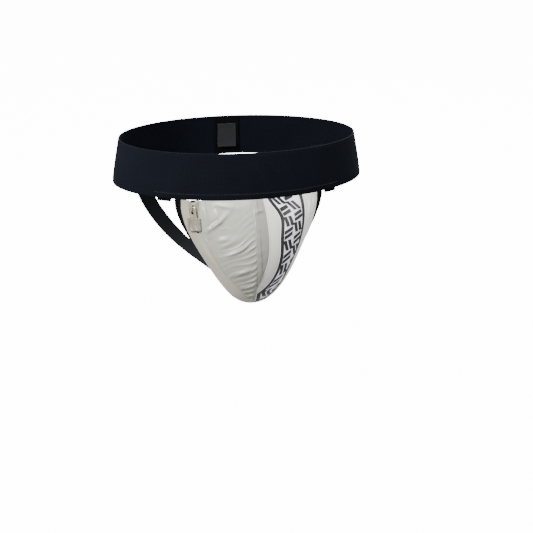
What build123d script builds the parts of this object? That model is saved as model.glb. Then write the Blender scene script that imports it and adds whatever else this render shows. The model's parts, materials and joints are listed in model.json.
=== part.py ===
from build123d import *
import os
from math import asin, atan2, cos, hypot, radians, sin, sqrt

# A groin protector: an elastic waistband, a panelled pouch with a short zip, two
# leg straps, and a hard cup that sits in the pocket behind the pouch.
# Millimetres. The origin is the middle of the waistband loop, +Z is up, the front
# faces -Y and the wearer's left hand is at +X.

# waistband: a loop that grows a little wider towards its lower edge
band_height = 57.15
band_thickness = 1.8
band_half_width_low = 166
band_half_depth_low = 110
band_taper_side = 11
band_taper_front = 5.5
band_top_forward = 2
band_low = -band_height / 2
band_top = band_height / 2

# tape that sews the pouch to the inside of the waistband
tape_thickness = 1.0
tape_half_length = 113
tape_below_band = 4
tape_height = 16
tape_past_pouch = 0.5
tape_over_pouch = 0.05

# patch over the waistband's own join, and the folded label beside it
join_width = 34
join_height = 56
join_thickness = 1.0
label_width = 26
label_height = 34
label_thickness = 0.5

# pouch surface: arcs from the groin crease over the front line and back
panel_thickness = 1.2
lining_depth = 1.6
lining_thickness = 0.8
binding_width = 8
binding_thickness = 2.9
binding_proud = 0.3
sewing_gap = 0.15
pouch_band_gap = 0.25
pouch_top = band_low - pouch_band_gap
pouch_stations = 9
pouch_half_width = 93
# (to the side, ahead of the waistband's front, below the pouch's top)
front_points = [(0, 0, 0), (0, 33.5, 63), (0, 33.5, 95), (0, 19, 125.5), (0, -26, 145.5), (0, -70, 138)]
crease_points = [(70, 21, 63), (24, 33.5, 121.5), (14, 74, 131)]

# panel seams in front view: (to the side, below the pouch's top)
centre_seam_x = 0
seam_start = -7
seam_stop = 157
seam_meeting = 132
cut_depth = 200
side_seam_points = [(-71.5, seam_start), (-70.5, 26), (-59, 50), (-50, 68), (-37.5, 88), (-24.5, 103),
                    (-13, 118), (centre_seam_x, seam_meeting)]
strip_seam_points = [(12.5, seam_start), (15.5, 17), (16.5, 40), (15, 62), (9.5, 82),
                     (centre_seam_x, 106)]
tape_seam_points = [(14, seam_start), (24, 8), (31.5, 20), (31, 40), (29, 66), (21, 90), (11, 104),
                    (centre_seam_x, 114)]
outer_seam_points = [(63, seam_start), (67.5, 13), (66, 36), (57, 62), (45, 84), (34, 105),
                     (19, 124), (12, 138), (12, seam_stop)]

# rear layer of the cup pocket
pocket_thickness = 1.0
pocket_set_back = 1.0
pocket_side_gap = 3
pocket_mouth = 0.12
pocket_foot = 0.94

# leg straps
strap_width = 24
strap_thickness = 1.6
strap_stations = 9
strap_hip_angle = 38
strap_overlap = 18
strap_gap = 0.9
strap_turned_by = 0.8
# the strap's start beside the pouch's foot, then shares of the way to the hip
strap_start = (12.5, 5.5, 0.5)
strap_shares = [(0.186, 0.508, 0.019), (0.532, 0.948, 0.191), (0.853, 1.073, 0.535)]
strap_patch_height = 20
strap_patch_width = 34
strap_patch_thickness = 0.8
strap_patch_rise = 1
strap_patch_gap = 0.9
crotch_patch_width = 44
crotch_patch_length = 16
crotch_patch_thickness = 1.4
crotch_patch_back = 12
crotch_patch_drop = 3.1

# zip, measured in its own plane: across, up along the chain, and out of the pouch
zip_x = -71.5
zip_proud = 0.7
zip_drop = 0.5
zip_turn = 40
zip_lean = 10
zip_tilt = 4
zip_length = 41
zip_tape_width = 3.1
zip_tape_thickness = 0.6
zip_opening = 6.2
tooth_gap = 0.6
tooth_reach = 1.1
tooth_length = 0.85
tooth_pitch = 1.7
tooth_root = 0.3
tooth_step = 0.2
cord_width = 1.0
chain_half_height = 1.0
chain_middle = -0.3
chain_gap = 0.1
stop_length = 1.3
guard_depth = 3.9
guard_thickness = 0.8
guard_half_width = 6.3
window_half_width = 8.2
window_above = 8
window_below = 1
window_depth = 12

# slider that runs on the chain
slider_length = 12
slider_width = 9
slider_plate = 1.1
slider_play = 0.3
slider_start = 1.8
flange_width = 1.2
neck_width = 0.6
neck_length = 3
bail_length = 8
bail_width = 2
bail_wall = 1.2
bail_height = 3.3

# puller that swings on the slider
pin_radius = 0.8
pin_play = 0.3
stem_width = 9.4
stem_length = 12.5
slot_width = 3.6
slot_length = 8
tab_width = 18
tab_length = 16.5
tab_thickness = 1.6
tab_border = 2.2
tab_recess = 0.7
tab_corner = 1.5
rib_width = 1.4
rib_spacing = 4.2
rib_tilt = 35

# hard cup and its soft edge
# (to the side or ahead of the rim, below the pouch's top)
cup_wall = 3
cup_stations = 15
rim_top_back = 10
rim_top_below = 17
rim_low_back = 18
rim_low_below = 113
rim_flat = 4
rim_points = [(44, 49), (27, 92)]
crown_start = 2
crown_points = [(28, 45), (38, 83)]
rim_trim = 0.5
vent_diameter = 6
vent_spacing = 17
vent_middle_below = 67
vent_drill = 60
gasket_outside = 1.5
gasket_inside = 4.5
gasket_depth = 4.5


def band_size(z):
    """Half width, half depth and middle of the waistband loop at a height."""
    share = (z - band_low) / band_height
    half_width = band_half_width_low - share * band_taper_side
    half_depth = band_half_depth_low - share * band_taper_front
    return half_width, half_depth, -share * band_top_forward


def band_ellipse(z, inset):
    half_width, half_depth, middle = band_size(z)
    return Pos(0, middle, z) * Ellipse(half_width - inset, half_depth - inset)


def band_ring(low, top, inset, thickness):
    """A loop lying at a given depth inside the waistband's outer face."""
    outer = loft([band_ellipse(low, inset), band_ellipse(top, inset)])
    inner = loft([band_ellipse(low, inset + thickness), band_ellipse(top, inset + thickness)])
    return outer - inner


def band_patch(low, top, inset, thickness, angle, width):
    """A piece of such a loop, at an angle from +X round the waist."""
    reach = band_half_width_low * 2
    block = Pos(reach / 2, 0, (low + top) / 2) * Box(reach, width, band_height)
    return band_ring(low, top, inset, thickness) & (Rot(0, 0, angle) * block)


def waistband():
    return band_ring(band_low, band_top, 0, band_thickness)


def pouch_top_tape():
    """The tape hangs below the waistband only beside the pouch."""
    low = band_low - tape_below_band
    tape = band_patch(low, low + tape_height, band_thickness, tape_thickness, -90,
                      2 * tape_half_length)
    room = 2 * (pouch_half_width + tape_past_pouch + sewing_gap)
    top = pouch_top + tape_over_pouch
    block = Box(room, band_half_depth_low, band_height)
    return tape - Pos(0, -band_half_depth_low, top - band_height / 2) * block


def join_patch():
    half = join_height / 2
    return band_patch(-half, half, band_thickness, join_thickness, 90, join_width)


def care_label():
    inset = band_thickness + join_thickness
    half = label_height / 2
    return band_patch(-half, half, inset, label_thickness, 90, label_width)


def from_pouch_top(side, ahead, below):
    """A place given from the front of the waistband and the top of the pouch."""
    return side, -band_half_depth_low - ahead, pouch_top - below


def pouch_corner():
    """Where the groin crease starts, on the waistband's lower edge."""
    share = pouch_half_width / band_half_width_low
    return pouch_half_width, -band_half_depth_low * sqrt(1 - share ** 2), pouch_top


crease_line = Spline(pouch_corner(), *[from_pouch_top(x, -back, z) for x, back, z in crease_points])
front_line = Spline(*[from_pouch_top(*point) for point in front_points])


class Section:
    """One arc of a bowl: edge, over the middle, to the other edge."""

    def __init__(self, edge, middle):
        rise = hypot(middle.Y - edge.Y, middle.Z - edge.Z)
        self.edge = edge
        self.out = Vector(0, middle.Y - edge.Y, middle.Z - edge.Z).normalized()
        self.radius = (edge.X ** 2 + rise ** 2) / (2 * rise)
        self.half_angle = atan2(edge.X, self.radius - rise)
        self.centre = Vector(0, middle.Y, middle.Z) - self.out * self.radius

    def at(self, angle, depth):
        radius = self.radius - depth
        return self.centre + self.out * (radius * cos(angle)) + Vector(radius * sin(angle), 0, 0)

    def strip(self, depth, thickness, margin):
        """The face between two arcs, stopping short of both edges."""
        end = self.half_angle - margin / self.radius
        far = depth + thickness
        outer = ThreePointArc(self.at(-end, depth), self.at(0, depth), self.at(end, depth))
        inner = ThreePointArc(self.at(-end, far), self.at(0, far), self.at(end, far))
        sides = [Line(outer @ 0, inner @ 0), Line(outer @ 1, inner @ 1)]
        return make_face([outer, inner] + sides)

    def segment(self):
        """The face between the arc and the straight line across its ends."""
        end = self.half_angle
        arc = ThreePointArc(self.at(-end, 0), self.at(0, 0), self.at(end, 0))
        return make_face([arc, Line(arc @ 1, arc @ 0)])


def sections(edge_line, middle_line, count, start=0, stop=1):
    steps = [start + (stop - start) * i / (count - 1) for i in range(count)]
    return [Section(edge_line @ t, middle_line @ t) for t in steps]


def pouch_layer(depth, thickness):
    stations = sections(crease_line, front_line, pouch_stations)
    margin = binding_width + sewing_gap
    return loft([s.strip(depth, thickness, margin) for s in stations])


def leg_binding(side):
    faces = []
    for s in sections(crease_line, front_line, pouch_stations):
        start = s.half_angle - binding_width / s.radius
        far = binding_thickness - binding_proud
        corners = [s.at(side * start, -binding_proud), s.at(side * s.half_angle, -binding_proud),
                   s.at(side * s.half_angle, far), s.at(side * start, far)]
        faces.append(make_face(Polyline(*corners, close=True)))
    return loft(faces)


def seam_place(x, below):
    return x, 0, pouch_top - below


def seam(points):
    """A seam in front view through its points."""
    return Spline(*[seam_place(x, below) for x, below in points])


def straight_seam(x):
    return Line(seam_place(x, seam_start), seam_place(x, seam_stop))


def between(left, right):
    """The block of space between two seams, as deep as the pouch."""
    top = Line(left @ 0, right @ 0)
    low = Line(left @ 1, right @ 1)
    return extrude(make_face([left, right, top, low]), cut_depth, dir=(0, -1, 0))


outside_left = straight_seam(band_half_width_low)
outside_right = straight_seam(-band_half_width_low)
centre_seam = straight_seam(centre_seam_x)


def block_to_centre(points, side_x):
    """Everything on one side of a seam that runs into the centre seam."""
    curve = seam(points)
    corner = seam_place(centre_seam_x, seam_stop)
    foot = Line(curve @ 1, corner)
    low = Line(corner, seam_place(side_x, seam_stop))
    rise = straight_seam(side_x)
    top = Line(rise @ 0, curve @ 0)
    return extrude(make_face([curve, foot, low, rise, top]), cut_depth, dir=(0, -1, 0))


def zip_origin():
    """The top of the zip's chain, just proud of the pouch's upper edge."""
    edge = Section(crease_line @ 0, front_line @ 0)
    on_pouch = edge.at(asin(zip_x / edge.radius), 0)
    return on_pouch + Vector(0, -zip_proud, -zip_drop)


def zip_plane():
    lean = radians(zip_lean)
    tilt = radians(zip_tilt)
    turn = radians(zip_turn)
    up = Vector(-sin(tilt), sin(lean), cos(lean)).normalized()
    facing = Vector(-sin(turn), -cos(turn), 0)
    facing = (facing - up * facing.dot(up)).normalized()
    return Plane(origin=zip_origin(), x_dir=up.cross(facing), z_dir=facing)


def zip_block(x_low, x_high, up_low, up_high, out_low, out_high):
    """A box in the zip's plane, given by its faces."""
    size = Box(x_high - x_low, up_high - up_low, out_high - out_low)
    middle = Pos((x_low + x_high) / 2, (up_low + up_high) / 2, (out_low + out_high) / 2)
    return zip_plane() * middle * size


def zip_window(half_width):
    return zip_block(-half_width, half_width, -zip_length - stop_length - window_below,
                     window_above, -window_depth, window_depth)


def pouch_panels():
    layer = pouch_layer(0, panel_thickness) - zip_window(zip_opening)
    side = block_to_centre(side_seam_points, -band_half_width_low)
    right_half = between(outside_right, centre_seam)
    left_half = between(centre_seam, outside_left)
    past_strip = block_to_centre(strip_seam_points, band_half_width_low)
    past_tape = block_to_centre(tape_seam_points, band_half_width_low)
    outer = between(seam(outer_seam_points), outside_left)
    return {
        "zip_side_panel": layer & side,
        "centre_panel": (layer & right_half) - side,
        "narrow_strip": (layer & left_half) - past_strip,
        "white_insert": (layer & past_strip) - past_tape,
        "patterned_tape": (layer & past_tape) - outer,
        "outer_side_panel": layer & outer,
    }


def pouch_lining():
    return pouch_layer(lining_depth, lining_thickness) - zip_window(window_half_width)


def pocket_back():
    faces = []
    for s in sections(crease_line, front_line, pouch_stations, pocket_mouth, pocket_foot):
        half = s.edge.X - pocket_side_gap
        level = Vector(0, s.edge.Y, s.edge.Z) - s.out * pocket_set_back
        far = level - s.out * pocket_thickness
        across = Vector(half, 0, 0)
        faces.append(make_face(Polyline(level - across, level + across, far + across,
                                        far - across, close=True)))
    return loft(faces)


def hip_point(z, inset):
    """A point inside the waistband where a leg strap is sewn, and the way out."""
    half_width, half_depth, middle = band_size(z)
    angle = radians(strap_hip_angle)
    wide = half_width - inset
    deep = half_depth - inset
    point = Vector(wide * cos(angle), middle + deep * sin(angle), z)
    return point, Vector(cos(angle) / wide, sin(angle) / deep, 0).normalized()


def leg_strap():
    inset = band_thickness + strap_gap + strap_thickness / 2
    end, outward = hip_point(band_low + strap_overlap, inset)
    edge, _ = hip_point(band_low, inset)
    start = front_line @ 1 + Vector(*strap_start)
    way = edge - start
    middle = [start + Vector(way.X * x, way.Y * y, way.Z * z) for x, y, z in strap_shares]
    path = Spline(start, *middle, edge, end)
    down = Vector(0, 0, -1)
    faces = []
    for i in range(strap_stations):
        t = i / (strap_stations - 1)
        along = path % t
        turned = min(1, t / strap_turned_by)
        normal = (down * (1 - turned) + outward * turned).normalized()
        width_way = along.cross(normal).normalized()
        faces.append(Plane(origin=path @ t, x_dir=width_way, z_dir=along)
                     * Rectangle(strap_width, strap_thickness))
    return loft(faces)


def strap_patch():
    inset = band_thickness + strap_gap + strap_thickness + strap_patch_gap
    point, _ = hip_point(band_low, inset)
    angle = Vector(1, 0, 0).get_signed_angle(Vector(point.X, point.Y, 0), Vector(0, 0, 1))
    low = band_low + strap_patch_rise
    return band_patch(low, low + strap_patch_height, inset, strap_patch_thickness, angle,
                      strap_patch_width)


def crotch_patch():
    size = Box(crotch_patch_width, crotch_patch_length, crotch_patch_thickness)
    foot = front_line @ 1
    return Pos(0, foot.Y + crotch_patch_back, foot.Z - crotch_patch_drop) * size


def zip_tape(side):
    inner = tooth_gap + tooth_reach + cord_width + chain_gap
    outer = inner + zip_tape_width
    low, high = sorted((side * inner, side * outer))
    return zip_block(low, high, -zip_length - stop_length, 0, -zip_tape_thickness, 0)


def zip_teeth(side):
    """A cord with teeth on its inner side; the other row's teeth stand between them."""
    root = tooth_gap + tooth_reach
    low, high = sorted((side * root, side * (root + cord_width)))
    bottom = chain_middle - chain_half_height
    top = chain_middle + chain_half_height
    row = zip_block(low, high, -zip_length, -stop_length, bottom, top)
    start = stop_length + (tooth_pitch / 2 if side > 0 else 0)
    count = int((zip_length - start - tooth_length) / tooth_pitch) + 1
    tooth_low, tooth_high = sorted((side * tooth_gap, side * (root + tooth_root)))
    for i in range(count):
        y = -start - i * tooth_pitch
        row += zip_block(tooth_low, tooth_high, y - tooth_length, y, bottom + tooth_step,
                         top - tooth_step)
    return row


def zip_stop(up_low, up_high):
    reach = tooth_gap + tooth_reach + cord_width
    height = chain_half_height + chain_gap
    return zip_block(-reach, reach, up_low, up_high, chain_middle - height, chain_middle + height)


def zip_guard():
    return zip_block(-guard_half_width, guard_half_width, -zip_length - stop_length, 0,
                     -guard_depth - guard_thickness, -guard_depth)


def zip_slider():
    half = slider_width / 2
    top = -slider_start
    low = top - slider_length
    face = chain_middle + chain_half_height + slider_play
    rear = chain_middle - chain_half_height - slider_play
    front_plate = zip_block(-half, half, low, top, face, face + slider_plate)
    rear_plate = zip_block(-half, half, low, top, rear - slider_plate, rear)
    neck = zip_block(-neck_width / 2, neck_width / 2, top - neck_length, top, rear, face)
    body = front_plate + rear_plate + neck
    tape_face = slider_play
    tape_rear = -zip_tape_thickness - slider_play
    for side in (-1, 1):
        x_low, x_high = sorted((side * (half - flange_width), side * half))
        body += zip_block(x_low, x_high, low, top, tape_face, face)
        body += zip_block(x_low, x_high, low, top, rear, tape_rear)
    return body


def slider_face():
    return chain_middle + chain_half_height + slider_play + slider_plate


def pin_up():
    return -slider_start - slider_length / 2


def slider_bail():
    half = bail_length / 2
    base = slider_face()
    arch = zip_block(-bail_width / 2, bail_width / 2, pin_up() - half, pin_up() + half,
                     base, base + bail_height)
    hole = zip_block(-bail_width, bail_width, pin_up() - half + bail_wall,
                     pin_up() + half - bail_wall, base, base + 2 * (pin_radius + pin_play))
    return arch - hole


def puller():
    level = slider_face() + pin_play + pin_radius
    half = tab_thickness / 2
    frame = zip_plane() * Pos(0, pin_up(), level)
    pin = frame * Rot(0, 90, 0) * Cylinder(pin_radius, stem_width)
    stem = frame * Pos(0, -stem_length / 2, 0) * Box(stem_width, stem_length, tab_thickness)
    slot = frame * Pos(0, -slot_length / 2, 0) * Box(slot_width, slot_length, 2 * tab_thickness)
    tab_outline = RectangleRounded(tab_width, tab_length, tab_corner)
    tab_middle = Pos(0, -stem_length - tab_length / 2, 0)
    tab = frame * tab_middle * Pos(0, 0, -half) * extrude(tab_outline, tab_thickness)
    field_width = tab_width - 2 * tab_border
    field_length = tab_length - 2 * tab_border
    field = Box(field_width, field_length, tab_recess)
    sunk = Pos(0, 0, half - tab_recess / 2)
    ribs = Box(rib_width, 2 * tab_length, tab_recess)
    pair = Pos(-rib_spacing / 2, 0, 0) * ribs + Pos(rib_spacing / 2, 0, 0) * ribs
    pattern = Rot(0, 0, rib_tilt) * pair
    hollow = field - pattern
    return (pin + (stem - slot) + tab) - (frame * tab_middle * sunk * hollow)


def rim_place(side, out, below):
    """A place beside or ahead of the rim's plane, below the pouch's top."""
    share = (below - rim_top_below) / (rim_low_below - rim_top_below)
    back = rim_top_back + share * (rim_low_back - rim_top_back)
    return from_pouch_top(side, out - back, below)


def rim_line(inset=0):
    """One half of the cup's rim, from its top to its foot."""
    points = [(x - inset, below) for x, below in rim_points]
    ends = [(rim_flat, rim_top_below + inset), (rim_flat, rim_low_below - inset)]
    places = [rim_place(x, 0, below) for x, below in ends[:1] + points + ends[1:]]
    return Spline(*places, tangents=((1, 0, 0), (-1, 0, 0)))


def crown_line(inset=0):
    """The cup's profile in side view, from its top to its foot."""
    points = [(out - inset, below) for out, below in crown_points]
    ends = [(crown_start, rim_top_below + inset), (crown_start, rim_low_below - inset)]
    places = [rim_place(0, out, below) for out, below in ends[:1] + points + ends[1:]]
    return Spline(*places, tangents=((0, -1, 0), (0, 1, 0)))


def dome(inset):
    return loft([s.segment() for s in sections(rim_line(inset), crown_line(inset), cup_stations)])


def cup_shell():
    shell = dome(0) - Pos(0, rim_trim, 0) * dome(cup_wall)
    for row in (-1, 0, 1):
        for column in (-1, 0, 1):
            below = vent_middle_below - row * vent_spacing
            place = Pos(*from_pouch_top(column * vent_spacing, 0, below))
            shell -= place * Rot(90, 0, 0) * Cylinder(vent_diameter / 2, vent_drill)
    return shell


def rim_face(inset):
    half = rim_line(inset)
    other = mirror(half, Plane.YZ)
    ends = [Line(half @ 0, other @ 0), Line(half @ 1, other @ 1)]
    return make_face([half, other] + ends)


def cup_gasket():
    ring = rim_face(-gasket_outside) - rim_face(gasket_inside)
    run = Vector(0, rim_low_back - rim_top_back, -(rim_top_below - rim_low_below)).normalized()
    back = Vector(1, 0, 0).cross(run) * -1
    return extrude(ring, gasket_depth, dir=back)


def mirrored(shape):
    return mirror(shape, Plane.YZ)


nodes = {
    "waistband": waistband(),
    "waistband_join_patch": join_patch(),
    "care_label": care_label(),
    "pouch_top_tape": pouch_top_tape(),
    "pouch_lining": pouch_lining(),
    "pocket_back": pocket_back(),
    "leg_binding_left": leg_binding(1),
    "leg_binding_right": leg_binding(-1),
    "leg_strap_left": leg_strap(),
    "leg_strap_right": mirrored(leg_strap()),
    "strap_patch_left": strap_patch(),
    "strap_patch_right": mirrored(strap_patch()),
    "crotch_patch": crotch_patch(),
    "zip_tape_inner": zip_tape(1),
    "zip_tape_outer": zip_tape(-1),
    "zip_teeth_inner": zip_teeth(1),
    "zip_teeth_outer": zip_teeth(-1),
    "zip_top_stop": zip_stop(chain_gap - stop_length, -chain_gap),
    "zip_bottom_stop": zip_stop(-zip_length - stop_length, -zip_length - chain_gap),
    "zip_guard": zip_guard(),
    "zip_slider": zip_slider(),
    "slider_bail": slider_bail(),
    "puller": puller(),
    "cup_shell": cup_shell(),
    "cup_gasket": cup_gasket(),
}
nodes.update(pouch_panels())

os.makedirs("parts", exist_ok=True)
for name, shape in nodes.items():
    solids = shape.solids()
    export_step(shape if len(solids) != 1 else solids[0], f"parts/{name}.step")
    box = shape.bounding_box()
    print(f"{name:22s} solids {len(solids)}  volume {shape.volume:9.1f}  "
          f"x {box.min.X:.1f}..{box.max.X:.1f}  y {box.min.Y:.1f}..{box.max.Y:.1f}  "
          f"z {box.min.Z:.1f}..{box.max.Z:.1f}")
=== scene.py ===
import json
import math
import bpy
import numpy as np
from mathutils import Matrix, Vector, noise

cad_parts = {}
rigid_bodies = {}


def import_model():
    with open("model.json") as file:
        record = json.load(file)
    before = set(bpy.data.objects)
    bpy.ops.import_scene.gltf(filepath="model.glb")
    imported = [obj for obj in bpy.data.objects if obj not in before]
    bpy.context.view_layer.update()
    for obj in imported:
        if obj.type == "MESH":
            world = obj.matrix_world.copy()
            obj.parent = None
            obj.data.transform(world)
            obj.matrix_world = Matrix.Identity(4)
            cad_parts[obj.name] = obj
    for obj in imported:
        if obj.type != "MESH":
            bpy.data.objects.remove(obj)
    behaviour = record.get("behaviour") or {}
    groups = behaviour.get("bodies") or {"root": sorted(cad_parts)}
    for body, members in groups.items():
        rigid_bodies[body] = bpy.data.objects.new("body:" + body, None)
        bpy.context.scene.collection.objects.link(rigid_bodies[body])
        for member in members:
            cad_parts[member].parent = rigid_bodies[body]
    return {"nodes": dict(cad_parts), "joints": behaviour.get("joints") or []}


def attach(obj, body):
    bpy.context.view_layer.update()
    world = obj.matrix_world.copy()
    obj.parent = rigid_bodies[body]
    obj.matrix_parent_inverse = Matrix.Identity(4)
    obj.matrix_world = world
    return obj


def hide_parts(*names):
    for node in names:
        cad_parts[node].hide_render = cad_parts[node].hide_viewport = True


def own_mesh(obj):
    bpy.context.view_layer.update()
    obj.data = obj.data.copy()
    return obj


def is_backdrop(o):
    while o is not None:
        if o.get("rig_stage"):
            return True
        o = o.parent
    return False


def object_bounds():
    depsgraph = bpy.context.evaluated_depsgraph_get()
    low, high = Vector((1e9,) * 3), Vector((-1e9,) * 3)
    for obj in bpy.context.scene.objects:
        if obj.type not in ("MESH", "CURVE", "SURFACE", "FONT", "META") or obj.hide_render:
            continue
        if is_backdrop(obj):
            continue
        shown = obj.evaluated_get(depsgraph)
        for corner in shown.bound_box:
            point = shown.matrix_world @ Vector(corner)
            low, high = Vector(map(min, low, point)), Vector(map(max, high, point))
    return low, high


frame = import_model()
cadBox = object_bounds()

# Groin protector: black elastic waistband, panelled pouch with a short zip, leg
# straps, and a hard cup in the pocket behind the pouch. Metres, +Z up, front at -Y.

mm = 0.001
joints = {joint["name"]: joint for joint in frame["joints"]}
print("frame loaded")


def deselectAll():
    if bpy.context.object and bpy.context.object.mode != "OBJECT":
        bpy.ops.object.mode_set(mode="OBJECT")
    bpy.ops.object.select_all(action="DESELECT")


def makeActive(piece):
    deselectAll()
    piece.select_set(True)
    bpy.context.view_layer.objects.active = piece


def applyModifiers(piece):
    makeActive(piece)
    for modifier in list(piece.modifiers):
        bpy.ops.object.modifier_apply(modifier=modifier.name)


def smoothShade(piece, degrees=40):
    makeActive(piece)
    bpy.ops.object.shade_smooth_by_angle(angle=math.radians(degrees))


def mergeDoubles(piece, distance=0.02 * mm):
    makeActive(piece)
    bpy.ops.object.mode_set(mode="EDIT")
    bpy.ops.mesh.select_all(action="SELECT")
    bpy.ops.mesh.remove_doubles(threshold=distance)
    bpy.ops.object.mode_set(mode="OBJECT")


# camera and light

camera = {
    "azimuth": -8.72, "elevation": 15.14, "distance": 1.15, "lens": 58.14,
    "turn": -10.68, "tilt": 67.37,          # where it points, in degrees
}
azimuth, elevation = math.radians(camera["azimuth"]), math.radians(camera["elevation"])
cameraPlace = camera["distance"] * Vector((math.sin(azimuth) * math.cos(elevation),
                                           -math.cos(azimuth) * math.cos(elevation),
                                           math.sin(elevation)))
bpy.ops.object.camera_add(location=cameraPlace,
                          rotation=(math.radians(camera["tilt"]), 0, math.radians(camera["turn"])))
bpy.context.object.data.lens = camera["lens"]
bpy.context.scene.camera = bpy.context.object

studio = {
    "floorDrop": 0.16, "floorSize": 60, "floorColour": "7C7C7C", "glowColour": "FFFFFF",
    "worldColour": "FFFFFF", "worldStrength": 0.7, "backdropGlow": 14.0,
    # name: place, size, watts
    "lights": {
        "softboxLeft": ((-1.5, -0.8, 1.3), 0.4, 92),
        "softboxRight": ((1.5, -0.8, 0.8), 0.6, 16),
        "softboxBack": ((0.9, 1.6, 1.2), 1.0, 45),
        "softboxTop": ((-0.2, -0.3, 1.7), 0.6, 42),
    },
}


# sRGB hex to linear colour
def linear(code):
    parts = [int(code[i:i + 2], 16) / 255 for i in (0, 2, 4)]
    return tuple(c / 12.92 if c <= 0.04045 else ((c + 0.055) / 1.055) ** 2.4 for c in parts) + (1,)


for lightName, (place, size, watts) in studio["lights"].items():
    aim = (Vector((0, -0.05, -0.08)) - Vector(place)).to_track_quat("-Z", "Y").to_euler()
    bpy.ops.object.light_add(type="AREA", location=place, rotation=aim)
    bpy.context.object.name = lightName
    bpy.context.object.data.size = size
    bpy.context.object.data.energy = watts

world = bpy.data.worlds.new("studioWorld")
bpy.context.scene.world = world
world.use_nodes = True
world.node_tree.nodes["Background"].inputs["Color"].default_value = linear(studio["worldColour"])


# materials

def addNode(tree, kind, settings=None, inputs=None):
    node = tree.nodes.new(kind)
    for key, value in (settings or {}).items():
        setattr(node, key, value)
    for key, value in (inputs or {}).items():
        if isinstance(value, bpy.types.NodeSocket):
            tree.links.new(value, node.inputs[key])
        else:
            node.inputs[key].default_value = value
    return node


# what the camera sees of the backdrop is brighter than the light it sends to the object
def backdropStrength(tree, plain):
    ray = addNode(tree, "ShaderNodeLightPath")
    return addNode(tree, "ShaderNodeMath", {"operation": "MULTIPLY_ADD"},
                   {0: ray.outputs["Is Camera Ray"], 1: studio["backdropGlow"], 2: plain}).outputs[0]


worldTree = world.node_tree
worldTree.links.new(backdropStrength(worldTree, studio["worldStrength"]),
                    worldTree.nodes["Background"].inputs["Strength"])


# a material with its shader's own settings, and the tree to add patterns to
def newMaterial(name, surface):
    material = bpy.data.materials.new(name)
    material.use_nodes = True
    tree = material.node_tree
    shader = tree.nodes["Principled BSDF"]
    for key, value in surface.items():
        shader.inputs[key].default_value = linear(value) if isinstance(value, str) else value
    return material, tree, shader


oneBandPerMetre = 0.3142      # the wave texture's own scale
cloudScale = 28.0

# woven or knitted cloth: two sets of threads cross on the cloth's own flat map; the low threads are painted
# darker, a painted shade in the weave's grooves
def clothMaterial(name, cloth):
    surface = {"Base Color": cloth["colour"], "Roughness": cloth["roughness"],
               "Sheen Weight": cloth["sheen"], "Sheen Roughness": 0.4,
               "Specular IOR Level": cloth.get("specular", 0.5)}
    if "coat" in cloth:
        surface["Coat Weight"] = cloth["coat"]
        surface["Coat Roughness"] = cloth["coatRoughness"]
    material, tree, shader = newMaterial(name, surface)
    flat = addNode(tree, "ShaderNodeUVMap", {"uv_map": "cloth"})
    threads = []
    for direction, pitch in (("X", cloth["acrossPitch"]), ("Y", cloth["alongPitch"])):
        bands = {"Vector": flat.outputs["UV"], "Scale": oneBandPerMetre / pitch,
                 "Distortion": cloth.get("unevenness", 0.0), "Detail": 1.0, "Detail Scale": 2.0}
        threads.append(addNode(tree, "ShaderNodeTexWave",
                               {"wave_type": "BANDS", "bands_direction": direction}, bands))
    weave = addNode(tree, "ShaderNodeMix", {"data_type": "FLOAT"},
                    {"Factor": cloth.get("alongShare", 0.5), "A": threads[0].outputs["Fac"],
                     "B": threads[1].outputs["Fac"]})
    place = addNode(tree, "ShaderNodeTexCoord")
    cloud = addNode(tree, "ShaderNodeTexNoise", {},
                    {"Vector": place.outputs["Object"], "Scale": cloudScale, "Detail": 3.0})
    # darker tone: colour clouds give the cloth's own uneven tone, and the weave adds painted shade where its
    # bump sinks
    shade = addNode(tree, "ShaderNodeMix", {"data_type": "FLOAT"},
                    {"Factor": cloth.get("weaveShade", 0.4), "A": cloud.outputs["Fac"],
                     "B": weave.outputs["Result"]})
    colour = addNode(tree, "ShaderNodeMix", {"data_type": "RGBA"},
                     {"Factor": shade.outputs["Result"], "A": linear(cloth["shade"]),
                      "B": linear(cloth["colour"])})
    tree.links.new(colour.outputs["Result"], shader.inputs["Base Color"])
    bump = addNode(tree, "ShaderNodeBump", {},
                   {"Height": weave.outputs["Result"], "Distance": cloth["bump"], "Strength": 0.6})
    tree.links.new(bump.outputs["Normal"], shader.inputs["Normal"])
    return material, tree, shader, colour


# weaveShade: the share of each cloth's darker tone that is painted shade from the weave
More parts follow.
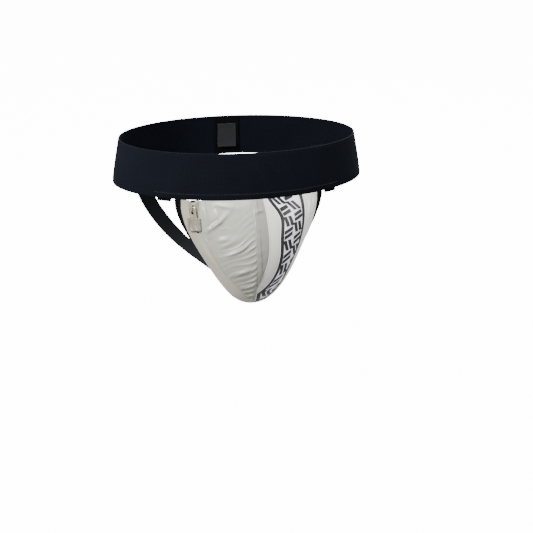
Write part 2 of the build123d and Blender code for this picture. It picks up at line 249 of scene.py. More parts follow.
polyester = {"sheen": 0.1, "acrossPitch": 1.1 * mm, "alongPitch": 1.1 * mm, "bump": 0.05 * mm,
             "coat": 0.15, "coatRoughness": 0.35, "weaveShade": 0.25}
taffeta = {"roughness": 0.45, "sheen": 0.1, "acrossPitch": 1.0 * mm, "alongPitch": 1.0 * mm,
           "bump": 0.05 * mm, "weaveShade": 0.3}
cloths = {
    # woven polyester elastic: ribs stand across the band, a dull navy black
    "wovenElastic": {"colour": "0B0E18", "shade": "05070C", "roughness": 0.9, "sheen": 0.0,
                     "acrossPitch": 2.4 * mm, "alongPitch": 1.5 * mm, "alongShare": 0.35,
                     "bump": 0.45 * mm, "unevenness": 0.4, "specular": 0.07},
    # strap elastic, the same weave in a plainer black
    "strapElastic": {"colour": "0D0E12", "shade": "060608", "roughness": 0.9, "sheen": 0.0,
                     "acrossPitch": 2.0 * mm, "alongPitch": 1.4 * mm, "alongShare": 0.5,
                     "bump": 0.35 * mm, "unevenness": 0.3, "specular": 0.1},
    # cotton twill tape, plain black and matt
    "twillTape": {"colour": "0B0B0E", "shade": "050507", "roughness": 0.9, "sheen": 0.0,
                  "acrossPitch": 1.2 * mm, "alongPitch": 1.2 * mm, "bump": 0.2 * mm, "specular": 0.05},
    # knitted polyester mesh: small open loops, matt
    "knittedMesh": {"colour": "101013", "shade": "040405", "roughness": 0.9, "sheen": 0.02,
                    "acrossPitch": 2.2 * mm, "alongPitch": 2.2 * mm, "bump": 0.6 * mm,
                    "specular": 0.06, "weaveShade": 0.8},
    # coated pearl polyester: a pale grey green with a soft wet gloss along the wrinkles
    "pearlPolyester": {**polyester, "colour": "A2A297", "shade": "86877C", "roughness": 0.36,
                       "coat": 0.2, "coatRoughness": 0.3},
    # the same cloth in sand grey
    "sandPolyester": {**polyester, "colour": "B2AD9E", "shade": "938E80", "roughness": 0.4},
    # the same cloth in a darker grey
    "greyPolyester": {**polyester, "colour": "8B8B83", "shade": "757570", "roughness": 0.38},
    # white nylon taffeta: crisp and smooth
    "whiteTaffeta": {**taffeta, "colour": "F7F7F4", "shade": "EDEDEA"},
    # the same taffeta tinted grey beige: painted shade on the white insert
    "whiteTaffetaPaintedShade": {**taffeta, "colour": "D6D5CD", "shade": "BDBCB4"},
    # printed nylon taffeta: a cool white ground, black print
    "printedTaffeta": {**taffeta, "colour": "F4F4FA", "shade": "E6E6F0", "roughness": 0.42},
    # blank satin label: long floats give it a silky gleam
    "labelSatin": {"colour": "232327", "shade": "17171A", "roughness": 0.35, "sheen": 0.1,
                   "acrossPitch": 0.8 * mm, "alongPitch": 1.6 * mm, "bump": 0.05 * mm},
}
materials = {name: clothMaterial(name, cloth)[0]
             for name, cloth in cloths.items() if name != "printedTaffeta"}


# moulded, plated and spun surfaces: colour clouds and a fine grain
def solidMaterial(name, finish):
    surface = {"Base Color": finish["colour"], "Roughness": finish["roughness"],
               "Metallic": finish.get("metallic", 0.0)}
    for key in ("Specular IOR Level", "Sheen Weight", "Subsurface Weight"):
        if key in finish:
            surface[key] = finish[key]
    material, tree, shader = newMaterial(name, surface)
    place = addNode(tree, "ShaderNodeTexCoord")
    cloud = addNode(tree, "ShaderNodeTexNoise", {},
                    {"Vector": place.outputs["Object"], "Scale": 1 / finish["cloudSize"], "Detail": 4.0})
    colour = addNode(tree, "ShaderNodeMix", {"data_type": "RGBA"},
                     {"Factor": cloud.outputs["Fac"], "A": linear(finish["shade"]),
                      "B": linear(finish["colour"])})
    tree.links.new(colour.outputs["Result"], shader.inputs["Base Color"])
    rough = addNode(tree, "ShaderNodeMapRange", {},
                    {"Value": cloud.outputs["Fac"], "To Min": finish["roughness"] - 0.06,
                     "To Max": finish["roughness"] + 0.08})
    tree.links.new(rough.outputs["Result"], shader.inputs["Roughness"])
    grain = addNode(tree, "ShaderNodeTexNoise", {},
                    {"Vector": place.outputs["Object"], "Scale": 1 / finish["grainSize"], "Detail": 2.0})
    bump = addNode(tree, "ShaderNodeBump", {},
                   {"Height": grain.outputs["Fac"], "Distance": finish["bump"], "Strength": 0.5})
    tree.links.new(bump.outputs["Normal"], shader.inputs["Normal"])
    return material


finishes = {
    # spun polyester thread, pale in itself, coloured darker than the cloth it holds: painted shade along the
    # stitch lines
    "paleThreadPaintedShade": {"colour": "8F8B7C", "shade": "6E6A5D", "roughness": 0.6, "cloudSize": 2 * mm,
                   "grainSize": 0.4 * mm, "bump": 0.1 * mm, "Sheen Weight": 0.1},
    "blackThread": {"colour": "1B1B1F", "shade": "0C0C0E", "roughness": 0.7, "cloudSize": 2 * mm,
                    "grainSize": 0.4 * mm, "bump": 0.1 * mm, "Specular IOR Level": 0.3},
    # moulded acetal zip teeth: black with a dull gloss
    "acetal": {"colour": "101012", "shade": "0A0A0B", "roughness": 0.42, "cloudSize": 5 * mm,
               "grainSize": 0.5 * mm, "bump": 0.03 * mm},
    # die-cast zinc with a satin silver plating, faintly tumbled; its champagne tint is a painted reflection
    # of the sand cloth around it
    "zincPaintedReflection": {"colour": "D2CCBB", "shade": "BDB6A4", "roughness": 0.36, "metallic": 1.0,
                   "cloudSize": 6 * mm, "grainSize": 0.35 * mm, "bump": 0.03 * mm},
    # moulded polypropylene cup: milky white, spark-eroded fine texture
    "polypropylene": {"colour": "E4E4DF", "shade": "D6D6D0", "roughness": 0.5, "cloudSize": 30 * mm,
                      "grainSize": 0.7 * mm, "bump": 0.08 * mm, "Subsurface Weight": 0.05},
    # soft moulded elastomer edge: dark grey, matt
    "elastomer": {"colour": "232326", "shade": "17171A", "roughness": 0.75, "cloudSize": 15 * mm,
                  "grainSize": 0.6 * mm, "bump": 0.06 * mm, "Specular IOR Level": 0.35},
}
materials.update({name: solidMaterial(name, finish) for name, finish in finishes.items()})

# print on the tape: border lines and two columns of slanted bars, no lettering
tapePrint = {
    "ink": "040405", "borderLeft": (0.8 * mm, 5.8 * mm), "borderRight": (0.7 * mm, 5.4 * mm),
    "columns": (12.6 * mm, 27.4 * mm), "columnStart": (3.0 * mm, 13.5 * mm), "period": 31 * mm,
    "halfWide": 6.4 * mm, "halfHigh": 6.9 * mm, "barPitch": 6.6 * mm, "barShare": 0.78,
    "slants": (0.30, -0.34),
}


def printMaterial(name, cloth):
    material, tree, shader, ground = clothMaterial(name, cloth)

    def maths(operation, a, b=0.0, c=0.0):
        return addNode(tree, "ShaderNodeMath", {"operation": operation}, {0: a, 1: b, 2: c}).outputs[0]

    def inside(value, low, high):
        return maths("MULTIPLY", maths("GREATER_THAN", value, low), maths("LESS_THAN", value, high))

    # bars that lean: upright ones in one block, level ones in the next
    def block(x, y, slant, upright):
        lean = maths("MULTIPLY_ADD", y if upright else x, slant, x if upright else y)
        reach = tapePrint["halfWide"] if upright else tapePrint["halfHigh"]
        row = maths("WRAP", maths("ADD", lean, tapePrint["barPitch"] / 2), tapePrint["barPitch"] / 2,
                    -tapePrint["barPitch"] / 2)
        bar = maths("LESS_THAN", maths("ABSOLUTE", row), tapePrint["barPitch"] * tapePrint["barShare"] / 2)
        other = maths("ABSOLUTE", y if upright else x)
        otherReach = tapePrint["halfHigh"] if upright else tapePrint["halfWide"]
        field = maths("MULTIPLY", maths("LESS_THAN", maths("ABSOLUTE", lean), reach),
                      maths("LESS_THAN", other, otherReach))
        return maths("MULTIPLY", bar, field)

    flat = addNode(tree, "ShaderNodeSeparateXYZ", {},
                   {"Vector": addNode(tree, "ShaderNodeUVMap", {"uv_map": "cloth"}).outputs["UV"]})
    edges = addNode(tree, "ShaderNodeSeparateXYZ", {},
                    {"Vector": addNode(tree, "ShaderNodeUVMap", {"uv_map": "tapeEdges"}).outputs["UV"]})
    u, v = flat.outputs["X"], flat.outputs["Y"]
    fromLeft, fromRight = edges.outputs["X"], edges.outputs["Y"]
    ink = maths("ADD", inside(fromLeft, *tapePrint["borderLeft"]),
                inside(fromRight, *tapePrint["borderRight"]))
    half = tapePrint["period"] / 2
    for column, start in zip(tapePrint["columns"], tapePrint["columnStart"]):
        x = maths("SUBTRACT", u, column)
        for turn, slant in enumerate(tapePrint["slants"]):
            y = maths("WRAP", maths("ADD", v, start + turn * half), half, -half)
            ink = maths("ADD", ink, block(x, y, slant, turn == 0))
    between = maths("MULTIPLY", maths("GREATER_THAN", fromLeft, tapePrint["borderLeft"][0]),
                    maths("GREATER_THAN", fromRight, tapePrint["borderRight"][0]))
    ink = maths("MINIMUM", maths("MULTIPLY", ink, between), 1.0)
    printed = addNode(tree, "ShaderNodeMix", {"data_type": "RGBA"},
                      {"Factor": ink, "A": ground.outputs["Result"], "B": linear(tapePrint["ink"])})
    tree.links.new(printed.outputs["Result"], shader.inputs["Base Color"])
    return material


materials["printedTaffeta"] = printMaterial("printedTaffeta", cloths["printedTaffeta"])
print("materials made")


# curves and cloth grids

# a smooth line through points; give it a share of its length from 0 to 1
class Curve:
    def __init__(self, points):
        self.points = np.array(points, float)
        steps = np.linalg.norm(np.diff(self.points, axis=0), axis=1)
        self.knots = np.concatenate([[0], np.cumsum(steps)]) / steps.sum()
        count = len(self.points)
        gaps = np.diff(self.knots)
        matrix = np.eye(count)
        wanted = np.zeros_like(self.points)
        wanted[0] = self.endSlope(self.knots[:4], self.points[:4])
        wanted[-1] = self.endSlope(self.knots[::-1][:4], self.points[::-1][:4])
        for i in range(1, count - 1):
            before, after = gaps[i - 1], gaps[i]
            matrix[i, i - 1:i + 2] = after, 2 * (before + after), before
            wanted[i] = 3 * (after * (self.points[i] - self.points[i - 1]) / before
                             + before * (self.points[i + 1] - self.points[i]) / after)
        self.slopes = np.linalg.solve(matrix, wanted)

    # slope at the first knot of the polynomial through the first few points
    @staticmethod
    def endSlope(knots, points):
        slope = np.zeros(points.shape[1])
        for i, point in enumerate(points):
            others = [j for j in range(len(points)) if j != i]
            share = 0.0
            for skipped in others:
                term = 1 / (knots[i] - knots[skipped])
                for j in others:
                    if j != skipped:
                        term *= (knots[0] - knots[j]) / (knots[i] - knots[j])
                share += term
            slope += share * point
        return slope

    def at(self, share):
        share = np.atleast_1d(np.asarray(share, float))
        i = np.clip(np.searchsorted(self.knots, share, side="right") - 1, 0, len(self.knots) - 2)
        width = self.knots[i + 1] - self.knots[i]
        u = ((share - self.knots[i]) / width)[:, None]
        width = width[:, None]
        return ((2 * u**3 - 3 * u**2 + 1) * self.points[i] + (u**3 - 2 * u**2 + u) * width * self.slopes[i]
                + (3 * u**2 - 2 * u**3) * self.points[i + 1] + (u**3 - u**2) * width * self.slopes[i + 1])

    def lengthTo(self, share):
        fine = np.linspace(0, 1, 400)
        steps = np.linalg.norm(np.diff(self.at(fine), axis=0), axis=1)
        return np.interp(share, fine, np.concatenate([[0], np.cumsum(steps)]))


def unit(vectors):
    return vectors / np.linalg.norm(vectors, axis=-1, keepdims=True)


# a flat grid of cloth; gives the piece and each vertex's share across and down
def clothGrid(name, columns, rows):
    deselectAll()
    bpy.ops.mesh.primitive_grid_add(x_subdivisions=columns, y_subdivisions=rows, size=1)
    piece = bpy.context.object
    piece.name = name
    places = np.empty(len(piece.data.vertices) * 3)
    piece.data.vertices.foreach_get("co", places)
    places = places.reshape(-1, 3)
    return piece, places[:, 0] + 0.5, 0.5 - places[:, 1]


def setPlaces(piece, places):
    piece.data.vertices.foreach_set("co", places.astype(np.float32).ravel())
    piece.data.update()


def addMap(piece, name, flat):
    layer = piece.data.uv_layers.new(name=name)
    index = np.empty(len(piece.data.loops), int)
    piece.data.loops.foreach_get("vertex_index", index)
    layer.data.foreach_set("uv", flat[index].astype(np.float32).ravel())


# the piece's own map: places on the flat cloth, in metres
def setFlat(piece, across, along):
    while piece.data.uv_layers:
        piece.data.uv_layers.remove(piece.data.uv_layers[0])
    addMap(piece, "cloth", np.stack([across, along], 1))


def wear(piece, material):
    piece.data.materials.clear()
    piece.data.materials.append(materials[material])


# rounds a piece's edges where its faces meet more sharply than the angle
def addBevel(piece, width, segments, degrees):
    edge = piece.modifiers.new("edge", "BEVEL")
    edge.width = width
    edge.segments = segments
    edge.limit_method = "ANGLE"
    edge.angle_limit = math.radians(degrees)


# gives the cloth its thickness, a rounded edge and its material
def finishCloth(piece, thickness, material, offset=-1.0, bevel=0.0, degrees=50):
    solid = piece.modifiers.new("thickness", "SOLIDIFY")
    solid.thickness = thickness
    solid.offset = offset
    solid.use_even_offset = False
    if bevel:
        addBevel(piece, bevel, 2, 50)
    applyModifiers(piece)
    wear(piece, material)
    smoothShade(piece, degrees)
    return piece


def standFor(piece, body, *nodes):
    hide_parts(*nodes)
    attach(piece, body)


def noiseAt(points, scale, seed):
    return np.array([noise.noise(Vector((x * scale + seed, y * scale, z * scale))) for x, y, z in points])


# waistband

band = {
    "height": 57.15 * mm, "thickness": 1.8 * mm, "halfWidth": 166 * mm, "halfDepth": 110 * mm,
    "taperSide": 11 * mm, "taperFront": 5.5 * mm, "topForward": 2 * mm,
    "selvedge": 3.2 * mm, "selvedgeStep": 0.3 * mm, "swell": 0.35 * mm, "columns": 400, "rows": 36,
}
bandLow = -band["height"] / 2


# places on the waistband's cone: angle from +X, height, and depth inside its face
def bandPoints(angle, height, inset):
    share = (height - bandLow) / band["height"]
    wide = band["halfWidth"] - share * band["taperSide"] - inset
    deep = band["halfDepth"] - share * band["taperFront"] - inset
    return np.stack([wide * np.cos(angle), deep * np.sin(angle) - share * band["topForward"],
                     np.broadcast_to(height, angle.shape)], 1)


def bandArc(angle):
    fine = np.linspace(-2 * np.pi, 2 * np.pi, 2000)
    places = bandPoints(fine, np.zeros_like(fine), 0.0)
    steps = np.linalg.norm(np.diff(places, axis=0), axis=1)
    return np.interp(angle, fine, np.concatenate([[0], np.cumsum(steps)]))


piece, across, down = clothGrid("waistband_elastic", band["columns"], band["rows"])
angle = 2 * np.pi * (across - 0.25)
height = bandLow + band["height"] * (1 - down)
fromEdge = np.minimum(down, 1 - down) * band["height"]
fade = np.clip((fromEdge - band["selvedge"]) / (1.0 * mm), -1, 0)
inset = -band["selvedgeStep"] * fade - band["swell"] * np.sin(np.pi * down)
places = bandPoints(angle, height, inset)
inset = inset - 0.35 * mm * noiseAt(places, 22, 4.4) * (1 - np.abs(2 * down - 1) ** 4)
setPlaces(piece, bandPoints(angle, height, inset))
setFlat(piece, bandArc(angle), height)
mergeDoubles(piece)
finishCloth(piece, band["thickness"], "wovenElastic", bevel=0.45 * mm)
standFor(piece, "supporter", "waistband")
waistband = piece
print("waistband made")


# a patch that follows the waistband from the inside
def bandPatch(name, node, patch):
    piece, across, down = clothGrid(name, patch["columns"], patch["rows"])
    middle = math.radians(patch["angle"])
    perimeter = bandArc(middle + 0.5) - bandArc(middle - 0.5)
    spread = patch["width"] / perimeter
    angle = middle + (across - 0.5) * spread
    height = patch["low"] + patch["height"] * (1 - down)
    offMiddle = np.abs(across - 0.5) * patch["width"]
    fromEdge = np.minimum(patch["width"] / 2 - offMiddle, np.minimum(down, 1 - down) * patch["height"])
    seam = np.exp(-((fromEdge - patch["seamIn"]) / (0.9 * mm)) ** 2)
    dipFrom, dipBy = patch.get("dip", (1.0, 0.0))
    inset = (patch["inset"] + patch["puff"] * (1 - seam)
             + patch.get("curl", 0.0) * np.clip(2 * down - 1, 0, 1) ** 2)
    inset = inset - dipBy * np.clip((offMiddle - dipFrom) / (2 * mm), 0, 1)
    setPlaces(piece, bandPoints(angle, height, inset))
    setFlat(piece, bandArc(angle), height)
    finishCloth(piece, patch["thickness"], patch["cloth"], bevel=patch["thickness"] / 3)
    standFor(piece, "supporter", node)
    return piece


# over the ends of the leg straps
strapPatch = {"low": bandLow + 1 * mm, "height": 20 * mm, "width": 34 * mm, "inset": 4.6 * mm,
              "puff": 0.1 * mm, "seamIn": 2.2 * mm, "dip": (12.8 * mm, 1.6 * mm), "thickness": 0.8 * mm,
              "cloth": "twillTape", "columns": 44, "rows": 26}
bandPatches = {
    # on the waistband's own join, at the back
    "join_patch": {"node": "waistband_join_patch", "angle": 90, "low": -28 * mm, "height": 56 * mm,
                   "width": 34 * mm, "inset": 1.85 * mm, "puff": 0.15 * mm, "seamIn": 3 * mm,
                   "thickness": 0.8 * mm, "cloth": "twillTape", "columns": 40, "rows": 60,
                   "on": "waistband_elastic"},
    # blank label, sewn along its top edge
    "care_label_satin": {"node": "care_label", "angle": 90, "low": -17 * mm, "height": 34 * mm,
                         "width": 26 * mm, "inset": 2.95 * mm, "puff": 0.05 * mm, "seamIn": 2 * mm,
                         "thickness": 0.4 * mm, "curl": 2.4 * mm, "cloth": "labelSatin", "columns": 26,
                         "rows": 34, "on": "join_patch"},
    "strap_patch_left_tape": {"node": "strap_patch_left", "angle": 27.1, "on": "leg_strap_left_elastic",
                              **strapPatch},
    "strap_patch_right_tape": {"node": "strap_patch_right", "angle": 152.9,
                               "on": "leg_strap_right_elastic", **strapPatch},
}
for name, patch in bandPatches.items():
    bandPatch(name, patch["node"], patch)

# the tape that sews the pouch to the band: it hangs below the band only beside the pouch
topTape = {"halfLength": 113 * mm, "below": 4 * mm, "height": 16 * mm, "inset": 1.95 * mm,
           "thickness": 0.85 * mm, "pouchHalf": 93.65 * mm, "overPouch": 0.1 * mm, "columns": 240, "rows": 16}
pouchTop = bandLow - 0.25 * mm
piece, across, down = clothGrid("top_tape", topTape["columns"], topTape["rows"])
reach = math.asin(topTape["halfLength"] / (band["halfWidth"] - topTape["inset"]))
angle = -math.pi / 2 + (2 * across - 1) * reach
beside = np.abs(bandPoints(angle, np.zeros_like(angle), topTape["inset"])[:, 0]) > topTape["pouchHalf"]
low = np.where(beside, bandLow - topTape["below"], pouchTop + topTape["overPouch"])
top = bandLow - topTape["below"] + topTape["height"]
height = top + (low - top) * down
setPlaces(piece, bandPoints(angle, height, topTape["inset"]))
setFlat(piece, bandArc(angle), height)
finishCloth(piece, topTape["thickness"], "twillTape", bevel=0.25 * mm)
standFor(piece, "supporter", "pouch_top_tape")
print("tape, patches and label made")

# the pouch form: arcs from the groin crease over the front line, as the part has them

creaseLine = Curve(np.array([(93, -91.12, -28.825), (70, -89, -91.825), (24, -76.5, -150.325),
                             (14, -36, -159.825)]) * mm)
frontLine = Curve(np.array([(0, -110, -28.825), (0, -143.5, -91.825), (0, -143.5, -123.825),
                            (0, -129, -154.325), (0, -84, -174.325), (0, -40, -166.825)]) * mm)


# for each share of the way down the pouch: arc centre, way out, radius, half angle
def pouchRows(down):
    edge, middle = creaseLine.at(down), frontLine.at(down)
    reach = middle - edge
    reach[:, 0] = 0
    rise = np.linalg.norm(reach, axis=1)
    out = reach / rise[:, None]
    radius = (edge[:, 0] ** 2 + rise**2) / (2 * rise)
    halfAngle = np.arctan2(edge[:, 0], radius - rise)
    return middle - out * radius[:, None], out, radius, halfAngle


# places on the pouch surface, lifted off it by some metres
def pouchPoints(down, angle, lift=0.0):
    centre, out, radius, _ = pouchRows(down)
    radius = radius + lift
    points = centre + out * (radius * np.cos(angle))[:, None]
    points[:, 0] += radius * np.sin(angle)
    return points


# seams in front view, as (x, z) in millimetres
seams = {
    "side": [(-71.5, -22), (-70.5, -54.8), (-59, -78.8), (-50, -96.8), (-37.5, -116.8), (-24.5, -131.8),
             (-13, -146.8), (0, -160.8)],
    "strip": [(12.5, -22), (15.5, -45.8), (16.5, -68.8), (15, -90.8), (9.5, -110.8), (0, -134.8)],
    "tape": [(14, -22), (24, -36.8), (31.5, -48.8), (31, -68.8), (29, -94.8), (21, -118.8),
             (11, -132.8), (0, -142.8)],
    "outer": [(63, -22), (67.5, -41.8), (66, -64.8), (57, -90.8), (45, -112.8), (34, -133.8), (19, -152.8),
              (12, -166.8), (12, -185.8)],
}
centreSeamX = 0.0
bindingWidth = 8 * mm


def seamTable(points):
    line = Curve(np.array([(x, 0, z) for x, z in points]) * mm).at(np.linspace(0, 1, 300))
    order = np.argsort(line[:, 2])
    return line[order, 2], line[order, 0]


seamTables = {name: seamTable(points) for name, points in seams.items()}


# where a seam stands at a height; a seam that has ended follows the centre seam
def seamX(name, height):
    if name == "centre":
        return np.full_like(height, centreSeamX)
    heights, places = seamTables[name]
    return np.interp(height, heights, places)


# the zip's own plane: across, up along its chain, and out of the pouch
zipSize = {"turn": 40, "tilt": 4, "length": 42.3 * mm, "opening": 5.3 * mm,
           "pinBelow": 7.8 * mm, "pinAhead": 3.2 * mm}
zipUp = -Vector(joints["zip_slide"]["axis"]).normalized()
zipAcross = -Vector(joints["puller_swing"]["axis"]).normalized()
zipOut = zipAcross.cross(zipUp)
pinPlace = Vector(joints["puller_swing"]["pos_m"])
zipStart = pinPlace + zipSize["pinBelow"] * zipUp - zipSize["pinAhead"] * zipOut


def zipPoints(across, up, out):
    ways = np.array([zipAcross, zipUp, zipOut])
    return np.array(zipStart) + np.stack(np.broadcast_arrays(across, up, out), -1) @ ways


# a panel's edge beside the zip, and the side seam below it
def zipEdge(side, height):
    axis = zipStart.x - (height - zipStart.z) * math.tan(math.radians(zipSize["tilt"]))
    beside = axis + side * zipSize["opening"] * math.cos(math.radians(zipSize["turn"]))
    bottom = zipStart.z - zipSize["length"]
    share = np.clip((height - bottom - 2.5 * mm) / (2 * mm), 0, 1)
    share = share * share * (3 - 2 * share)
    return share * beside + (1 - share) * seamX("side", height)


# the arc angle, row by row, at which the pouch meets a seam
def seamAngles(down, place):
    centre, out, radius, halfAngle = pouchRows(down)
    angle = np.zeros_like(down)
    for _ in range(14):
        height = centre[:, 2] + out[:, 2] * radius * np.cos(angle)
        target = place(height)
        wanted = np.arcsin(np.clip(target / radius, -0.999, 0.999))
        angle = 0.5 * angle + 0.5 * wanted
    return angle


def edgeAngles(down, side, margin=bindingWidth):
    _, _, radius, halfAngle = pouchRows(down)
    return side * (halfAngle - margin / radius)


# pouch panels

panelCloth = {
    "thickness": 1.1 * mm, "rollWidth": 1.8 * mm, "rollDepth": 0.45 * mm, "deepest": 0.5 * mm,
    "gatherHeight": 2.1 * mm, "gatherReach": 24 * mm, "gatherSpacing": 7.4 * mm, "gatherSlope": 0.36,
    "ridgeWidth": 5.6 * mm, "ridgeHeight": 0.75 * mm, "ridgeStep": 0.9 * mm,
}


# a soft fold along a line in front view, from start to end, all in millimetres
def ridge(points, start, end, width, height):
    a, b = np.array(start) * mm, np.array(end) * mm
    flat = points[:, [0, 2]]
    run = b - a
    share = np.clip(((flat - a) @ run) / (run @ run), 0, 1)
    off = np.linalg.norm(flat - (a + share[:, None] * run), axis=1)
    fade = np.sin(np.pi * np.clip(share, 0.08, 0.92))
    return height * mm * np.exp(-(off / (width * mm)) ** 2) * fade


# a raised, twice-stitched seam allowance along one edge
def raisedSeam(fromEdge):
    width, height = panelCloth["ridgeWidth"], panelCloth["ridgeHeight"]
    step = panelCloth["ridgeStep"]
    return height * np.clip((width - fromEdge) / step + 0.5, 0, 1) * np.clip(fromEdge / step, 0, 1)


# gathers that rise to the centre seam, and the broad folds beside the zip
def centreFolds(points, fromLeft, fromRight):
    warp = noiseAt(points, 34, 3.1)
    strength = 0.75 + 0.8 * noiseAt(points, 48, 9.4)
    lift = np.zeros(len(points))
    for spacing, share, seed in ((panelCloth["gatherSpacing"], 1.0, 0.0), (3.9 * mm, 0.4, 0.35)):
        phase = (points[:, 2] + panelCloth["gatherSlope"] * fromRight) / spacing + 1.3 * warp + seed
        crest = (1 - np.abs(np.sin(np.pi * phase))) ** 1.4
        lift += panelCloth["gatherHeight"] * share * (crest - 0.3) * strength
    lift *= np.exp(-(fromRight / panelCloth["gatherReach"]) ** 1.5)
    lift *= np.clip((-points[:, 2] - 42 * mm) / (20 * mm), 0.15, 1)
    folds = [((-58, -64), (-28, -39), 2.6, 2.9), ((-55, -57), (-36, -44), 1.8, -1.6),
             ((-59, -32), (-55, -70), 2.4, 2), ((-52, -31), (-18, -37), 2.6, 1.7),
             ((-46, -34), (-38, -58), 2.4, 1.3), ((-42, -94), (-6, -74), 2.8, 1.7),
             ((-44, -82), (-14, -64), 2.4, 1.4), ((-32, -118), (-4, -103), 2.4, 1.8),
             ((-24, -134), (-4, -127), 2.2, 1.4), ((-48, -74), (-28, -68), 3, 1.2)]
    lift += sum(ridge(points, *fold) for fold in folds)
    lift += 0.7 * mm * noiseAt(points, 24, 5.5) + 0.25 * mm * noiseAt(points, 90, 1.5)
    below = np.clip((zipStart.z - zipSize["length"] - points[:, 2]) / (4 * mm), 0, 1)
    return lift + raisedSeam(fromLeft) * below


def sideFolds(points, fromLeft, fromRight):
    folds = [((-82, -32), (-78, -78), 1.8, 1.1), ((-86, -34), (-82, -60), 1.6, 0.8),
             ((-64, -82), (-44, -114), 2.2, 1), ((-70, -82), (-56, -102), 1.8, 0.6)]
    return sum(ridge(points, *fold) for fold in folds) + 0.45 * mm * noiseAt(points, 34, 2.2)


def stripFolds(points, fromLeft, fromRight):
    lift = ridge(points, (0, -41), (16, -39), 1.5, 1.3) + ridge(points, (0, -45), (16, -44), 1.4, -0.6)
    pull = 0.35 * mm * np.sin(points[:, 2] / (2.3 * mm) + 3 * noiseAt(points, 60, 8.0))
    return lift + pull * np.exp(-fromLeft / (6 * mm)) + raisedSeam(fromLeft)


def insertFolds(points, fromLeft, fromRight):
    return 0.3 * mm * noiseAt(points, 30, 7.7)


def tapeFolds(points, fromLeft, fromRight):
    return 0.35 * mm * noiseAt(points, 22, 1.3)


def outerFolds(points, fromLeft, fromRight):
    folds = [((76, -32), (70, -68), 1.8, 1.3), ((70, -34), (67, -82), 1.6, 1), ((82, -33), (76, -58), 1.6, 1)]
    return sum(ridge(points, *fold) for fold in folds) + 0.35 * mm * noiseAt(points, 30, 4.2)


pouchPanels = {
    # name: left edge, right edge, share of the pouch down to its end, folds, cloth
    "zip_side_panel": {"left": -1, "right": lambda height: zipEdge(-1, height), "end": 1.0,
                       "folds": sideFolds, "cloth": "sandPolyester", "columns": 50},
    "centre_panel": {"left": lambda height: zipEdge(1, height), "right": "centre", "end": 0.645,
                     "folds": centreFolds, "cloth": "pearlPolyester", "columns": 120},
    "narrow_strip": {"left": "centre", "right": "strip", "end": 0.505, "folds": stripFolds,
                     "cloth": "greyPolyester", "columns": 30},
    # the white insert's taffeta is tinted grey beige, a painted shade
    "white_insert": {"left": "strip", "right": "tape", "end": 0.545, "folds": insertFolds,
                     "cloth": "whiteTaffetaPaintedShade", "columns": 24},
    "patterned_tape": {"left": "tape", "right": "outer", "end": 1.0, "folds": tapeFolds,
                       "cloth": "printedTaffeta", "columns": 64},
    "outer_side_panel": {"left": "outer", "right": 1, "end": 1.0, "folds": outerFolds,
                         "cloth": "whiteTaffeta", "columns": 44},
}


def panelEdge(edge, down):
    if isinstance(edge, (int, float)):
        return edgeAngles(down, edge)
    if callable(edge):
        return seamAngles(down, edge)
    return seamAngles(down, lambda height: seamX(edge, height))


def makePanel(name, panel):
    piece, across, down = clothGrid(name + "_cloth", panel["columns"], int(260 * panel["end"]))
    down = down * panel["end"]
    across = 0.6 * across + 0.4 * (0.5 - 0.5 * np.cos(np.pi * across))    # closer threads at the seams
    left, right = panelEdge(panel["left"], down), panelEdge(panel["right"], down)
    right = np.maximum(left, right)
    angle = left + (right - left) * across
    _, _, radius, _ = pouchRows(down)
    width = (right - left) * radius
    fromLeft, fromRight = across * width, (1 - across) * width
    base = pouchPoints(down, angle)
    nearSeam = np.minimum(fromLeft, fromRight)
    roll = np.clip(1 - nearSeam / panelCloth["rollWidth"], 0, 1) ** 2
    lift = panel["folds"](base, fromLeft, fromRight) * (0.3 + 0.7 * np.clip(nearSeam / (4 * mm), 0, 1))
    lift = (lift - panelCloth["rollDepth"] * roll) * np.clip(down / 0.03, 0.1, 1)
    lift = np.where(lift < 0, -panelCloth["deepest"] * np.tanh(-lift / panelCloth["deepest"]), lift)
    setPlaces(piece, base)
    setPlaces(piece, pouchPoints(down, angle, lift))
    along = frontLine.lengthTo(down)
    setFlat(piece, fromLeft, -along)
    addMap(piece, "tapeEdges", np.stack([fromLeft, fromRight], 1))
    mergeDoubles(piece)
    finishCloth(piece, panelCloth["thickness"], panel["cloth"])
    standFor(piece, "supporter", name)
    return piece


panels = {name: makePanel(name, panel) for name, panel in pouchPanels.items()}
print("pouch panels made")


# lining, with a window behind the zip
lining = {"depth": 1.95 * mm, "thickness": 0.45 * mm, "margin": 8.3 * mm, "windowHalf": 8.2 * mm,
          "windowBelow": 1 * mm}
piece, across, down = clothGrid("pouch_lining_mesh", 110, 130)
left, right = edgeAngles(down, -1, lining["margin"]), edgeAngles(down, 1, lining["margin"])
angle = left + (right - left) * across
_, _, radius, _ = pouchRows(down)
places = pouchPoints(down, angle, -lining["depth"])
setPlaces(piece, places)
setFlat(piece, angle * radius, -frontLine.lengthTo(down))
local = (places - np.array(zipStart)) @ np.array([zipAcross, zipUp]).T
behindZip = (np.abs(local[:, 0]) < lining["windowHalf"]) \
    & (local[:, 1] > -zipSize["length"] - lining["windowBelow"]) \
    & (places[:, 0] < -50 * mm)
makeActive(piece)
bpy.ops.object.mode_set(mode="EDIT")
bpy.ops.mesh.select_mode(type="VERT")
bpy.ops.mesh.select_all(action="DESELECT")
bpy.ops.object.mode_set(mode="OBJECT")
for vertex in piece.data.vertices:
    vertex.select = bool(behindZip[vertex.index])
bpy.ops.object.mode_set(mode="EDIT")
bpy.ops.mesh.delete(type="VERT")
bpy.ops.object.mode_set(mode="OBJECT")
finishCloth(piece, lining["thickness"], "knittedMesh")
standFor(piece, "supporter", "pouch_lining")

